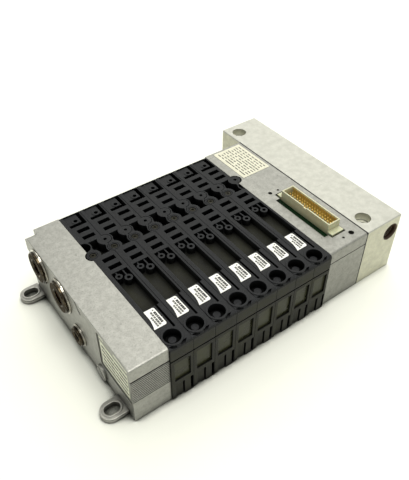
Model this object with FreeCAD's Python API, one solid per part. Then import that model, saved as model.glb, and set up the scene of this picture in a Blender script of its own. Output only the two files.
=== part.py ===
import FreeCAD, Part
import os

# Pneumatic valve island: a left end plate, eight valve slices, a connection module and an end block.
# Millimetres, +Z up, X along the stack from the left end plate, Y from the front to the rear.

os.makedirs("parts", exist_ok=True)
V = FreeCAD.Vector

# Whole stack
HEIGHT = 50.0
STATIONS = 8
PITCH = 16.0
FIT = 0.1                # gap beside a piece that is pushed into a pocket
RUN_GAP = 0.3            # gap between a moving piece and what it passes
EPS = 1.0                # how far a cutting tool stands past the face it enters
NOSE_SHARE = 0.3         # how far down a bevel its first, shallow part goes

# Left end plate
PLATE_W = 26.0
PLATE_L = 138.6
CREASE_Z = 39.2          # dark crease across the front of the stack
CREASE_H = 1.5
CREASE_D = 1.2
RIB_TOP = 37.6
RIB_PITCH = 1.65
RIB_COUNT = 12
RIB_GROOVE = 0.8
RIB_D = 0.7
FIELD_Y0, FIELD_Y1 = 1.6, 38.0
FIELD_Z0, FIELD_Z1 = 15.0, 47.0
FIELD_D = 0.8
FIELD_R = 2.0
CORNER_X = 7.4
CORNER_L = 4.6
LEDGE_L = 1.2
LEDGE_D = 4.0
TAB_L = 3.6
TAB_H = 9.5
LUG_Y0, LUG_L = 32.5, 10.0
LUG_Z0, LUG_H = 1.5, 12.0
LUG_OUT = 1.6
LUG_R = 4.8
LUG_SLIT_L, LUG_SLIT_W, LUG_SLIT_D, LUG_SLIT_TILT = 9.8, 2.2, 2.8, 40.0
EDGE_R = 1.2

# Air ports in the left end plate
SUPPLY_YS = (84.2, 117.2)
SUPPLY_Z = 36.4
SUPPLY_RING_R = 12.6
SUPPLY_BODY_R = 11.4
SUPPLY_BORE_R = 5.8
SUPPLY_SHANK_R = 9.6
PILOT_Y, PILOT_Z = 65.2, 16.2
PILOT_RING_R = 8.0
PILOT_BODY_R = 7.0
PILOT_BORE_R = 3.9
PILOT_SHANK_R = 5.8
PORT_OUT = 3.4
PORT_RING_T = 0.9
SHANK_L = 14.0
MOUTH = 0.7
GASH_Y, GASH_Z, GASH_TILT = 60.9, 45.6, 48.0
GASH_L, GASH_W, GASH_D = 9.0, 2.4, 2.8

# Air ducts through the slices
DUCT = 8.0
SEAL_W = 1.5
SEAL_T = 1.0

# Feet
FOOT_FRONT, FOOT_REAR = 13.4, 9.1       # from the left end plate's two ends
FOOT_YS = (FOOT_FRONT, PLATE_L - FOOT_REAR)
FOOT_REACH = 15.8
FOOT_W = 13.5
FOOT_T = 4.1
SLOT_L, SLOT_W = 10.6, 7.6
SLOT_X = -7.9
RIM_W, RIM_H = 1.0, 0.6
FOOT_GROOVE_Z, FOOT_GROOVE_H, FOOT_GROOVE_D = 2.6, 0.6, 0.6
TONGUE_L, TONGUE_W = 9.0, 10.0

# Valve slice
SLICE_FRONT = -1.2
SLICE_REAR = 140.5
NOSE = 2.2
SEAM = 0.25              # bevel along the edges where a slice meets its neighbour
SLICE_TAIL = 2.6         # bevel along a slice's top rear edge
SLICE_CREASE_Z, SLICE_CREASE_H, SLICE_CREASE_D = 38.1, 1.1, 1.2

WELL_X, WELL_Y = 6.6, 6.4
WELL_R = 5.5
WELL_D = 6.0
RING_W = 1.15
RING_H = 0.4
CRESCENT_W, CRESCENT_D = 1.7, 1.6
CRESCENT_BRIDGE = 2.6
CRESCENT_WALL = 0.6

SLIT_X0, SLIT_X1 = 11.2, 12.7
SLIT_Y0, SLIT_Y1 = 11.8, 31.8
SLIT_D = 6.0

BAY_X0, BAY_X1 = 3.0, 14.5
BAY_Y0, BAY_Y1 = 31.8, 69.9
BAY_D = 5.3
EYE_A = (6.3, 65.7, 2.4, 1.1)   # x, y, outer radius, hole radius
EYE_B = (11.2, 61.8, 2.7, 1.3)
EYE_RIB = 0.9
EYE_SINK = 0.5

GRID_X0, GRID_X1 = 4.6, 13.5
GRID_YS = ((73.2, 77.0), (81.1, 84.9), (108.6, 112.2), (116.4, 120.2))
GRID_D = 6.0

BOSS_R = 4.2
BOSS_HOLE_R = 1.2
BOSS_HOLE_D = 6.0
BOSS_GAP = 0.45
BOSS_H = 8.0
BOSS_SEAT_R, BOSS_SEAT_D = 2.5, 1.0
BOSS_RING_R0, BOSS_RING_R1, BOSS_RING_D = 3.15, 3.5, 0.4
LOW_BOSS = (2.1, 91.8)
HIGH_BOSS = (16.4, 101.4)
STAR_X0, STAR_X1 = 4.9, 13.8
STAR_Y0, STAR_Y1 = 89.0, 104.7
STAR_WALL = 1.2
STAR_D = 7.6
METAL_NOTCH_GAP = 0.9

TAIL_X0, TAIL_X1 = 2.6, 14.9
TAIL_Y0, TAIL_Y1 = 123.9, 137.4
TAIL_D = 7.0
TAIL_SHELF_D = 0.8
TAIL_SHELF_X1, TAIL_SHELF_Y0 = 12.4, 127.6
TAIL_BOSS = (9.1, 130.2, 2.9, 1.5)

WINDOW_X0, WINDOW_X1 = 2.4, 13.9
WINDOW_Z0, WINDOW_Z1 = 17.4, 34.7
WINDOW_D = 1.3
PANEL_T = 1.0
SKIRT_X0 = 2.6
SKIRT_Z = 13.9
SKIRT_D = 0.7
KEY_X0, KEY_X1 = 9.2, 13.6
NARROW_SLIT, WIDE_SLIT = 0.9, 2.0
SKIRT_SLIT_D = 3.0
SKIRT_SLIT_FOOT = 1.2
TOE_X1, TOE_H, TOE_D = 6.0, 1.2, 4.0

# Pilot solenoid behind the panel, under the button
COIL_WALL = 0.6
COIL_BAY_REAR = 30.0
COIL_W = 9.6
COIL_H = 15.6
COIL_YOKE = 2.4
COIL_R = 4.6

# Override button
BUTTON_R = 2.4
BUTTON_SINK = 3.3
BUTTON_STROKE = 1.3
COLLAR_R, COLLAR_H = 3.3, 1.5
BUTTON_STOP_Z = 41.0
TIP_R = 1.4
SOCKET_R = 1.9           # the socket in the solenoid's lid that the button's tip enters
SOCKET_D = BUTTON_STROKE + 2.1
SOCKET_LID = 11.5

# Spool and its plug
SPOOL_Z = 18.0
SPOOL_BORE_R = 3.6
SPOOL_FIT = 0.05
SPOOL_NECK_R = 2.2
SPOOL_FRONT = 40.0
SPOOL_STROKE = 3.0
SPOOL_LANDS = 3
LAND_L = 14.0
PLUG_L = 10.0

# Working ports at the rear of each slice
WORK_ZS = (8.6, 28.4)
WORK_R = 4.2
WORK_D = 9.0

# Tie rods, which lie in channels in the slices' undersides
ROD_YS = (36.0, 104.0)
ROD_Z = 6.0
ROD_R = 2.5
ROD_GAP = 0.3
ROD_SCREWED = 12.0
ROD_HEAD_R, ROD_HEAD_L = 4.25, 5.0
ROD_HEAD_SINK = 1.5

# Connection module
MODULE_W = 35.6
MODULE_L = 139.0
MODULE_CREASE_Z, MODULE_CREASE_H, MODULE_CREASE_D = 40.2, 0.7, 0.6
MODULE_NOSE = 1.2
JOINT_W, JOINT_D = 0.5, 1.2      # groove on the top and front where the module meets the end block

# Plug connector on the board
CONN_X, CONN_Y = 19.75, 41.1
CONN_W, CONN_L = 10.9, 56.0
CONN_TOP = 6.0
CONN_WALL = 0.9
CONN_FLOOR = 1.0
CONN_EAR_L, CONN_EAR_DROP = 4.4, 6.0
KEYWAY_W, KEYWAY_H = 3.0, 0.9
PIN_PITCH = 2.54
PIN_ROWS = int((CONN_W - 2 * CONN_WALL) / PIN_PITCH)
PIN_COLUMNS = int((CONN_L - 2 * CONN_EAR_L - 2 * CONN_WALL) / PIN_PITCH)
PIN_SIDE = 0.64
PIN_L = 4.6

# Pit round the connector: a narrow part round its ears, and a wider part that bares the board
PIT_D = 4.0
PIT_FLOOR = HEIGHT - PIT_D
PIT_GAP = 0.2
BOARD_T = 1.6
EAR_ROOM_LEFT, EAR_ROOM_RIGHT = 1.8, 0.2
EAR_ROOM_FRONT, EAR_ROOM_REAR = 1.6, 0.6
BARE_LEFT = 5.6
BARE_FRONT, BARE_REAR = 1.8, 4.9     # from the ears' ends inwards
PIT_X0 = CONN_X - CONN_W / 2 - BARE_LEFT
PIT_X1 = CONN_X + CONN_W / 2 + EAR_ROOM_RIGHT
PIT_Y0 = CONN_Y - CONN_L / 2 + BARE_FRONT
PIT_Y1 = CONN_Y + CONN_L / 2 - BARE_REAR
PIT_STEP_X0 = CONN_X - CONN_W / 2 - EAR_ROOM_LEFT
PIT_STEP_Y0 = CONN_Y - CONN_L / 2 - EAR_ROOM_FRONT
PIT_STEP_Y1 = CONN_Y + CONN_L / 2 + EAR_ROOM_REAR

# Screw holes and dimples past the pit's two ends: x, distance from the end, and a hole's radius
REAR_HOLE_X, REAR_HOLE_OUT, REAR_HOLE_R = 11.0, 3.4, 1.5
FRONT_HOLE_X, FRONT_HOLE_OUT, FRONT_HOLE_R = 26.9, 3.9, 2.0
MODULE_HOLES = (
    (REAR_HOLE_X, PIT_STEP_Y1 + REAR_HOLE_OUT, REAR_HOLE_R),
    (FRONT_HOLE_X, PIT_STEP_Y0 - FRONT_HOLE_OUT, FRONT_HOLE_R),
)
MODULE_HOLE_D = 8.0
REAR_DIMPLE_X, REAR_DIMPLE_OUT = 18.2, 2.9
FRONT_DIMPLE_X, FRONT_DIMPLE_OUT = 18.8, 4.4
MODULE_DIMPLES = (
    (REAR_DIMPLE_X, PIT_STEP_Y1 + REAR_DIMPLE_OUT),
    (FRONT_DIMPLE_X, PIT_STEP_Y0 - FRONT_DIMPLE_OUT),
)
DIMPLE_R, DIMPLE_D = 0.9, 0.8

# Labels
SHEET_T = 0.2
TAG_X0, TAG_X1, TAG_FLARE_X = 2.8, 9.7, 0.9
TAG_Y0, TAG_Y1, TAG_FLARE_Y = 16.0, 31.0, 24.5
TAG_SWING = 0.32         # how far the flare's curve bows in, as a share of the flare
TAG_R = 1.3
MODULE_LABEL = (7.0, 99.0, 25.9, 38.0)
SIDE_LABEL_Y0, SIDE_LABEL_Y1 = 4.5, 36.0
SIDE_LABEL_Z0, SIDE_LABEL_Z1 = 17.8, 40.7

# End block
BLOCK_W = 35.0
BLOCK_L = 162.2
BLOCK_EDGE = 0.6
BOLT_X = 9.4
BOLT_FRONT, BOLT_REAR = 13.5, 10.9      # from the block's two ends
BOLT_YS = (BOLT_FRONT, BLOCK_L - BOLT_REAR)
BOLT_R = 3.3
BOLT_HEAD_R, BOLT_HEAD_D = 5.7, 6.5
END_PORT_X, END_PORT_Z = 26.5, 37.5
END_PORT_R, END_PORT_D = 5.9, 14.0
END_PORT_MOUTH = 1.1

# Where the stack's pieces start along X, and the shift that centres the part on its origin
STACK_X = PLATE_W
MODULE_X = STACK_X + STATIONS * PITCH
BLOCK_X = MODULE_X + MODULE_W
RIGHT_X = BLOCK_X + BLOCK_W
CENTRE = V(-(RIGHT_X - FOOT_REACH) / 2, -(BLOCK_L + SLICE_FRONT) / 2, 0)


def box(x0, x1, y0, y1, z0, z1):
    return Part.makeBox(x1 - x0, y1 - y0, z1 - z0, V(x0, y0, z0))


def post(x, y, z0, z1, r):
    return Part.makeCylinder(r, z1 - z0, V(x, y, z0))


def bar_x(y, z, x0, x1, r):
    return Part.makeCylinder(r, x1 - x0, V(x0, y, z), V(1, 0, 0))


def bar_y(x, z, y0, y1, r):
    return Part.makeCylinder(r, y1 - y0, V(x, y0, z), V(0, 1, 0))


def side_profile(points, x0, x1):
    """A solid with a side outline of (y, z) points, drawn out along X."""
    ring = [V(x0, y, z) for y, z in points]
    face = Part.Face(Part.makePolygon(ring + ring[:1]))
    return face.extrude(V(x1 - x0, 0, 0))


def turned(points, centre, axis):
    """A solid of revolution about a line along X, Y or Z, from (distance along it, radius) points."""
    side = V(0, 0, 1) if axis.z == 0 else V(1, 0, 0)
    ring = [centre + axis * along + side * r for along, r in points]
    face = Part.Face(Part.makePolygon(ring + ring[:1]))
    return face.revolve(centre, axis, 360)


def fused(first, others):
    return first.fuse(others).removeSplitter()


def export(name, *solids):
    shape = solids[0] if len(solids) == 1 else Part.makeCompound(list(solids))
    shape = shape.copy()
    shape.translate(CENTRE)
    shape.exportStep("parts/" + name + ".step")


def moved(shape, x):
    other = shape.copy()
    other.translate(V(x, 0, 0))
    return other


def front_outline(front, rear, nose, creases):
    """Outline of a stack piece up to its top: a bevelled top edge and grooves in its front, lowest first."""
    points = [(rear, 0), (front, 0)]
    for z, height, depth in creases:
        points += [(front, z - height / 2), (front + depth, z - height / 2)]
        points += [(front + depth, z + height / 2), (front, z + height / 2)]
    points += [(front, HEIGHT - nose), (front + nose * NOSE_SHARE, HEIGHT - nose * NOSE_SHARE)]
    return points + [(front + nose, HEIGHT)]


def stadium(x_end, x_root, y, width, z0, z1):
    """A flat tongue with a round end at x_end, reaching right to x_root."""
    r = width / 2
    arc = Part.Arc(V(x_end + r, y + r, z0), V(x_end, y, z0), V(x_end + r, y - r, z0))
    lines = [V(x_end + r, y - r, z0), V(x_root, y - r, z0), V(x_root, y + r, z0), V(x_end + r, y + r, z0)]
    wire = Part.Wire([arc.toShape()] + [Part.makeLine(a, b) for a, b in zip(lines, lines[1:])])
    return Part.Face(wire).extrude(V(0, 0, z1 - z0))


def slot(x, y, length, width, z0, z1):
    """A slot along X with round ends, centred on x and y."""
    r = width / 2
    reach = length / 2 - r
    middle = box(x - reach, x + reach, y - r, y + r, z0, z1)
    return fused(middle, [post(x - reach, y, z0, z1, r), post(x + reach, y, z0, z1, r)])


def duct_cutters(x0, x1):
    half = DUCT / 2
    return [box(x0, x1, y - half, y + half, SUPPLY_Z - half, SUPPLY_Z + half) for y in SUPPLY_YS]


def seal_blocks(x):
    """The square seats of the gaskets round the two ducts, from the face at x."""
    half = DUCT / 2 + SEAL_W
    return [box(x, x + SEAL_T, y - half, y + half, SUPPLY_Z - half, SUPPLY_Z + half) for y in SUPPLY_YS]


def seals(x):
    ducts = duct_cutters(x - EPS, x + SEAL_T + EPS)
    return [seat.cut(hole) for seat, hole in zip(seal_blocks(x), ducts)]


def rod_channels(x0, x1):
    half = ROD_R + ROD_GAP
    return [box(x0, x1, y - half, y + half, -EPS, ROD_Z + half) for y in ROD_YS]


def coil_bay():
    """The space behind a slice's front panel, as x0, x1, z0, z1."""
    return (WINDOW_X0 + COIL_WALL, WINDOW_X1 - COIL_WALL, WINDOW_Z0 + COIL_WALL, WINDOW_Z1 - COIL_WALL)


def left_marks():
    """The lug's slanting slit and the slanting gash beside the upper ports, as cutting tools."""
    marks = (
        (-LUG_OUT, LUG_SLIT_L, LUG_SLIT_W, LUG_SLIT_D, LUG_SLIT_TILT, LUG_Y0 + LUG_L / 2, LUG_Z0 + LUG_H / 2),
        (0, GASH_L, GASH_W, GASH_D, GASH_TILT, GASH_Y, GASH_Z),
    )
    tools = []
    for face, length, width, depth, tilt, y, z in marks:
        tool = box(face - EPS, face + depth, -length / 2, length / 2, -width / 2, width / 2)
        tool.rotate(V(0, 0, 0), V(1, 0, 0), tilt)
        tool.translate(V(0, y, z))
        tools.append(tool)
    return tools


def corner_cutters():
    """The rear left corner: cut away below, a short tab above, and a ledge cut into the top."""
    y = PLATE_L - CORNER_L
    tab_top = HEIGHT - LEDGE_D
    return [
        box(-EPS, CORNER_X, y, PLATE_L + EPS, -EPS, tab_top - TAB_H),
        box(-EPS, CORNER_X, y + TAB_L, PLATE_L + EPS, -EPS, HEIGHT + EPS),
        box(-EPS, CORNER_X, y - LEDGE_L, PLATE_L + EPS, tab_top, HEIGHT + EPS),
    ]


def along_x(shape, length):
    """The shape's edges that run along X for more than a length."""
    return [e for e in shape.Edges if abs(e.Vertexes[0].X - e.Vertexes[-1].X) > length]


def left_end_plate():
    creases = [(RIB_TOP - RIB_PITCH * k, RIB_GROOVE, RIB_D) for k in reversed(range(RIB_COUNT))]
    creases.append((CREASE_Z, CREASE_H, CREASE_D))
    outline = front_outline(0, PLATE_L, EDGE_R, creases) + [(PLATE_L, HEIGHT)]
    body = side_profile(outline, 0, PLATE_W)
    lug = box(-LUG_OUT, EPS, LUG_Y0, LUG_Y0 + LUG_L, LUG_Z0, LUG_Z0 + LUG_H)
    lug = lug.makeFillet(LUG_R, along_x(lug, LUG_OUT))
    body = fused(body, [lug])
    field = box(-EPS, FIELD_D, FIELD_Y0, FIELD_Y1, FIELD_Z0, FIELD_Z1)
    field = field.makeFillet(FIELD_R, along_x(field, FIELD_D))
    cuts = [field] + left_marks() + corner_cutters()
    for y in SUPPLY_YS:
        cuts.append(bar_x(y, SUPPLY_Z, -EPS, SHANK_L, SUPPLY_SHANK_R))
    cuts.append(bar_x(PILOT_Y, PILOT_Z, -EPS, SHANK_L, PILOT_SHANK_R))
    cuts += duct_cutters(SHANK_L - EPS, PLATE_W + EPS)
    for y in FOOT_YS:
        half = TONGUE_W / 2 + FIT
        cuts.append(box(-EPS, TONGUE_L + FIT, y - half, y + half, -EPS, FOOT_T))
    for y in ROD_YS:
        cuts.append(bar_x(y, ROD_Z, PLATE_W - ROD_SCREWED, PLATE_W + EPS, ROD_R))
    x, y = LOW_BOSS
    cuts.append(post(STACK_X + x, y, HEIGHT - BOSS_H, HEIGHT + EPS, BOSS_R + METAL_NOTCH_GAP))
    return body.cut(cuts)


def port_sleeve(y, z, ring_r, body_r, bore_r, shank_r):
    """A port fitting: a thin ring on the plate, a body that stands out of it, and a shank in the plate."""
    points = [
        (SHANK_L, bore_r), (SHANK_L, shank_r), (0, shank_r), (0, ring_r), (-PORT_RING_T, ring_r),
        (-PORT_RING_T, body_r), (-PORT_OUT + MOUTH, body_r), (-PORT_OUT, body_r - MOUTH),
        (-PORT_OUT, bore_r + MOUTH), (-PORT_OUT + MOUTH, bore_r),
    ]
    return turned(points, V(0, y, z), V(1, 0, 0))


def foot(y):
    ear = stadium(-FOOT_REACH, -FIT, y, FOOT_W, 0, FOOT_T)
    tongue = box(-FIT, TONGUE_L, y - TONGUE_W / 2, y + TONGUE_W / 2, 0, FOOT_T)
    rim = slot(SLOT_X, y, SLOT_L + 2 * RIM_W, SLOT_W + 2 * RIM_W, FOOT_T, FOOT_T + RIM_H)
    hole = slot(SLOT_X, y, SLOT_L, SLOT_W, -EPS, FOOT_T + RIM_H + EPS)
    z0, z1 = FOOT_GROOVE_Z, FOOT_GROOVE_Z + FOOT_GROOVE_H
    d = FOOT_GROOVE_D
    around = box(-FOOT_REACH - EPS, -FOOT_GROOVE_H, y - FOOT_W, y + FOOT_W, z0, z1)
    core = stadium(-FOOT_REACH + d, 0, y, FOOT_W - 2 * d, z0, z1)
    return fused(ear, [tongue, rim]).cut([hole, around.cut(core)])


def seam_edge(edge):
    """Whether an edge runs along a slice's side on its top, or up its front below or above the crease."""
    bound = edge.BoundBox
    if bound.XLength > FIT:
        return False
    return bound.ZMin > HEIGHT - FIT or (bound.YMax < SLICE_FRONT + FIT and bound.ZLength > NOSE)


def slice_blank():
    crease = [(SLICE_CREASE_Z, SLICE_CREASE_H, SLICE_CREASE_D)]
    outline = front_outline(SLICE_FRONT, SLICE_REAR, NOSE, crease)
    outline += [(SLICE_REAR - SLICE_TAIL, HEIGHT), (SLICE_REAR, HEIGHT - SLICE_TAIL)]
    body = side_profile(outline, 0, PITCH)
    body = body.makeChamfer(SEAM, [e for e in body.Edges if seam_edge(e)])
    lobes = [post(x, y, HEIGHT - BOSS_H, HEIGHT, BOSS_R) for x, y in (LOW_BOSS, HIGH_BOSS)]
    ring = post(WELL_X, WELL_Y, HEIGHT - WELL_D, HEIGHT + RING_H, WELL_R + RING_W)
    ring = ring.common(box(0, PITCH, SLICE_FRONT, WELL_Y + 2 * WELL_R, 0, HEIGHT + RING_H))
    return fused(body, lobes + [ring])


def boss_cutters():
    """Room for the bosses of the slices on either side, and the holes in the slice's own bosses."""
    floor = HEIGHT - BOSS_H
    room = BOSS_R + BOSS_GAP
    cuts = [
        post(HIGH_BOSS[0] - PITCH, HIGH_BOSS[1], floor, HEIGHT + EPS, room),
        post(LOW_BOSS[0] + PITCH, LOW_BOSS[1], floor, HEIGHT + EPS, room),
    ]
    for x, y in (LOW_BOSS, HIGH_BOSS):
        cuts.append(post(x, y, HEIGHT - BOSS_HOLE_D, HEIGHT + EPS, BOSS_HOLE_R))
    x, y = LOW_BOSS
    cuts.append(post(x, y, HEIGHT - BOSS_SEAT_D, HEIGHT + EPS, BOSS_SEAT_R))
    ring = post(x, y, HEIGHT - BOSS_RING_D, HEIGHT + EPS, BOSS_RING_R1)
    cuts.append(ring.cut(post(x, y, 0, HEIGHT + 2 * EPS, BOSS_RING_R0)))
    return cuts


def star_cutter():
    """The opening between the bosses: its sides follow the four bosses round it."""
    z0, z1 = HEIGHT - STAR_D, HEIGHT + EPS
    block = box(STAR_X0, STAR_X1, STAR_Y0, STAR_Y1, z0, z1)
    r = BOSS_R + STAR_WALL
    centres = [LOW_BOSS, HIGH_BOSS, (HIGH_BOSS[0] - PITCH, HIGH_BOSS[1]), (LOW_BOSS[0] + PITCH, LOW_BOSS[1])]
    return block.cut([post(x, y, z0 - EPS, z1 + EPS, r) for x, y in centres])


def bay_cutter():
    """The long pocket, with two round eyes and their ribs left standing at its rear end."""
    z0 = HEIGHT - BAY_D
    block = box(BAY_X0, BAY_X1, BAY_Y0, BAY_Y1, z0, HEIGHT + EPS)
    top = HEIGHT - EYE_SINK
    stay = []
    for x, y, r, hole in (EYE_A, EYE_B):
        stay.append(post(x, y, z0 - EPS, top, r))
        stay.append(box(x - EYE_RIB / 2, x + EYE_RIB / 2, y, BAY_Y1 + EPS, z0 - EPS, top))
    stay = fused(stay[0], stay[1:])
    holes = [post(x, y, z0, top + EPS, hole) for x, y, r, hole in (EYE_A, EYE_B)]
    return [block.cut(stay)] + holes


def tail_cutter():
    """The rear pocket: a deep moat round a shelf that carries a screw boss."""
    z0 = HEIGHT - TAIL_D
    x, y, r, hole = TAIL_BOSS
    block = box(TAIL_X0, TAIL_X1, TAIL_Y0, TAIL_Y1, z0, HEIGHT + EPS)
    shelf = box(TAIL_X0 - EPS, TAIL_SHELF_X1, TAIL_SHELF_Y0, TAIL_Y1 + EPS, z0 - EPS, HEIGHT - TAIL_SHELF_D)
    boss = post(x, y, z0 - EPS, HEIGHT - EYE_SINK, r)
    return [block.cut([shelf, boss]), post(x, y, z0, HEIGHT + EPS, hole)]


def crescent_cutter():
    """Two curved hollows in front of the well's ring, with a bridge between them."""
    z0 = HEIGHT - CRESCENT_D
    outer = post(WELL_X, WELL_Y, z0, HEIGHT + EPS, WELL_R + RING_W + CRESCENT_W)
    inner = post(WELL_X, WELL_Y, z0 - EPS, HEIGHT + 2 * EPS, WELL_R + RING_W)
    band = outer.cut(inner)
    wall = CRESCENT_WALL
    reach = SLICE_FRONT + NOSE
    left = box(wall, WELL_X - CRESCENT_BRIDGE / 2, SLICE_FRONT - EPS, reach, z0, HEIGHT + EPS)
    right = box(WELL_X + CRESCENT_BRIDGE / 2, PITCH - wall, SLICE_FRONT - EPS, reach, z0, HEIGHT + EPS)
    return [band.common(left), band.common(right)]


def front_cutters():
    face = SLICE_FRONT
    cuts = [box(WINDOW_X0, WINDOW_X1, face - EPS, face + WINDOW_D + PANEL_T, WINDOW_Z0, WINDOW_Z1)]
    cuts.append(box(SKIRT_X0, KEY_X0, face - EPS, face + SKIRT_D, -EPS, SKIRT_Z))
    for x, width in ((KEY_X0 - NARROW_SLIT, NARROW_SLIT), (KEY_X1, WIDE_SLIT)):
        cuts.append(box(x, x + width, face - EPS, face + SKIRT_SLIT_D, SKIRT_SLIT_FOOT, SKIRT_Z))
    cuts.append(box(-EPS, TOE_X1, face - EPS, face + TOE_D, -EPS, TOE_H))
    return cuts


def inner_cutters():
    x0, x1, z0, z1 = coil_bay()
    cuts = [box(x0, x1, SLICE_FRONT + WINDOW_D, COIL_BAY_REAR, z0, z1)]
    cuts.append(post(WELL_X, WELL_Y, HEIGHT - WELL_D, HEIGHT + 2 * EPS, WELL_R))
    cuts.append(post(WELL_X, WELL_Y, BUTTON_STOP_Z - EPS, HEIGHT - WELL_D + EPS, BUTTON_R + RUN_GAP))
    half = COLLAR_R + RUN_GAP
    cuts.append(box(WELL_X - half, WELL_X + half, WELL_Y - half, WELL_Y + half, z1 - EPS, BUTTON_STOP_Z))
    cuts.append(bar_y(PITCH / 2, SPOOL_Z, SPOOL_FRONT, SLICE_REAR + EPS, SPOOL_BORE_R))
    for z in WORK_ZS:
        cuts.append(bar_y(PITCH / 2, z, SLICE_REAR - WORK_D, SLICE_REAR + EPS, WORK_R))
    cuts += duct_cutters(-EPS, PITCH + EPS)
    cuts += seal_blocks(0)
    cuts += rod_channels(-EPS, PITCH + EPS)
    return cuts


def valve_slice():
    cuts = boss_cutters() + [star_cutter()] + bay_cutter() + tail_cutter()
    cuts += crescent_cutter() + front_cutters() + inner_cutters()
    cuts.append(box(SLIT_X0, SLIT_X1, SLIT_Y0, SLIT_Y1, HEIGHT - SLIT_D, HEIGHT + EPS))
    for y0, y1 in GRID_YS:
        cuts.append(box(GRID_X0, GRID_X1, y0, y1, HEIGHT - GRID_D, HEIGHT + EPS))
    return slice_blank().cut(cuts)


def front_panel():
    y = SLICE_FRONT + WINDOW_D
    return box(WINDOW_X0, WINDOW_X1, y, y + PANEL_T, WINDOW_Z0, WINDOW_Z1)


def override_button():
    top = HEIGHT - BUTTON_SINK
    stop = BUTTON_STOP_Z - RUN_GAP
    tip = coil_bay()[2] + COIL_H - RUN_GAP
    points = [
        (tip, 0), (tip, TIP_R), (stop - COLLAR_H, TIP_R), (stop - COLLAR_H, COLLAR_R),
        (stop, COLLAR_R), (stop, BUTTON_R), (top, BUTTON_R), (top, 0),
    ]
    return turned(points, V(WELL_X, WELL_Y, 0), V(0, 0, 1))


def pilot_solenoid():
    """A coil between two yoke plates, with the button's socket in the front plate's lid."""
    x0, x1, z0 = coil_bay()[:3]
    mid = (x0 + x1) / 2
    left, right = mid - COIL_W / 2, mid + COIL_W / 2
    front = SLICE_FRONT + WINDOW_D + PANEL_T
    top = z0 + COIL_H
    head = box(left, right, front + RUN_GAP, front + SOCKET_LID, z0, top)
    back = box(left, right, COIL_BAY_REAR - COIL_YOKE, COIL_BAY_REAR, z0, top)
    coil = bar_y(mid, z0 + COIL_H / 2, front + SOCKET_LID - EPS, COIL_BAY_REAR - COIL_YOKE + EPS, COIL_R)
    socket = post(WELL_X, WELL_Y, top - SOCKET_D, top + EPS, SOCKET_R)
    return fused(head, [back, coil]).cut(socket)


def spool():
    front = SPOOL_FRONT + RUN_GAP
    rear = SLICE_REAR - PLUG_L - RUN_GAP - SPOOL_STROKE
    r = SPOOL_BORE_R - SPOOL_FIT
    step = (rear - front - LAND_L) / (SPOOL_LANDS - 1)
    points = [(front, 0)]
    for k in range(SPOOL_LANDS):
        a = front + k * step
        points += [(a, r if k == 0 else SPOOL_NECK_R), (a, r), (a + LAND_L, r)]
        points += [(a + LAND_L, SPOOL_NECK_R if k < SPOOL_LANDS - 1 else 0)]
    clean = [p for p, q in zip(points, points[1:] + points[:1]) if p != q]
    return turned(clean, V(PITCH / 2, 0, SPOOL_Z), V(0, 1, 0))


def bore_plug():
    return bar_y(PITCH / 2, SPOOL_Z, SLICE_REAR - PLUG_L, SLICE_REAR - FIT, SPOOL_BORE_R)


def tie_rod(y):
    """A long screw: its head lies in the end block's right face, its tip in the left end plate."""
    seat = RIGHT_X - ROD_HEAD_SINK - ROD_HEAD_L
    start = PLATE_W - ROD_SCREWED + FIT
    points = [
        (start, 0), (start, ROD_R), (seat, ROD_R), (seat, ROD_HEAD_R),
        (seat + ROD_HEAD_L, ROD_HEAD_R), (seat + ROD_HEAD_L, 0),
    ]
    return turned(points, V(0, y, ROD_Z), V(1, 0, 0))


def pit(grow, z0, z1):
    """The stepped pit's outline in the module, drawn in by grow where that is negative."""
    main = box(PIT_X0 - grow, PIT_X1 + grow, PIT_Y0 - grow, PIT_Y1 + grow, z0, z1)
    step = box(PIT_STEP_X0 - grow, PIT_X1 + grow, PIT_STEP_Y0 - grow, PIT_STEP_Y1 + grow, z0, z1)
    return moved(fused(main, [step]), MODULE_X)


def module_housing():
    crease = [(MODULE_CREASE_Z, MODULE_CREASE_H, MODULE_CREASE_D)]
    outline = front_outline(0, MODULE_L, MODULE_NOSE, crease) + [(MODULE_L, HEIGHT)]
    body = side_profile(outline, MODULE_X, BLOCK_X)
    cuts = [pit(0, PIT_FLOOR, HEIGHT + EPS)]
    left, right = BLOCK_X - JOINT_W, BLOCK_X + EPS
    cuts.append(box(left, right, -EPS, MODULE_L + EPS, HEIGHT - JOINT_D, HEIGHT + EPS))
    cuts.append(box(left, right, -EPS, JOINT_D, -EPS, HEIGHT + EPS))
    x, y = HIGH_BOSS
    notch_x = MODULE_X - PITCH + x
    cuts.append(post(notch_x, y, HEIGHT - BOSS_H, HEIGHT + EPS, BOSS_R + METAL_NOTCH_GAP))
    cuts += seal_blocks(MODULE_X)
    for x, y, r in MODULE_HOLES:
        cuts.append(post(MODULE_X + x, y, HEIGHT - MODULE_HOLE_D, HEIGHT + EPS, r))
    for x, y in MODULE_DIMPLES:
        cuts.append(post(MODULE_X + x, y, HEIGHT - DIMPLE_D, HEIGHT + EPS, DIMPLE_R))
    for y in ROD_YS:
        cuts.append(bar_x(y, ROD_Z, MODULE_X - EPS, BLOCK_X + EPS, ROD_R + ROD_GAP))
    return body.cut(cuts)


def circuit_board():
    return pit(-PIT_GAP, PIT_FLOOR, PIT_FLOOR + BOARD_T)


def conn_box():
    """The connector's outline, as x0, x1, y0, y1, z0, z1."""
    x, y = MODULE_X + CONN_X, CONN_Y
    across, along = CONN_W / 2, CONN_L / 2
    return (x - across, x + across, y - along, y + along, PIT_FLOOR + BOARD_T, HEIGHT + CONN_TOP)


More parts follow.
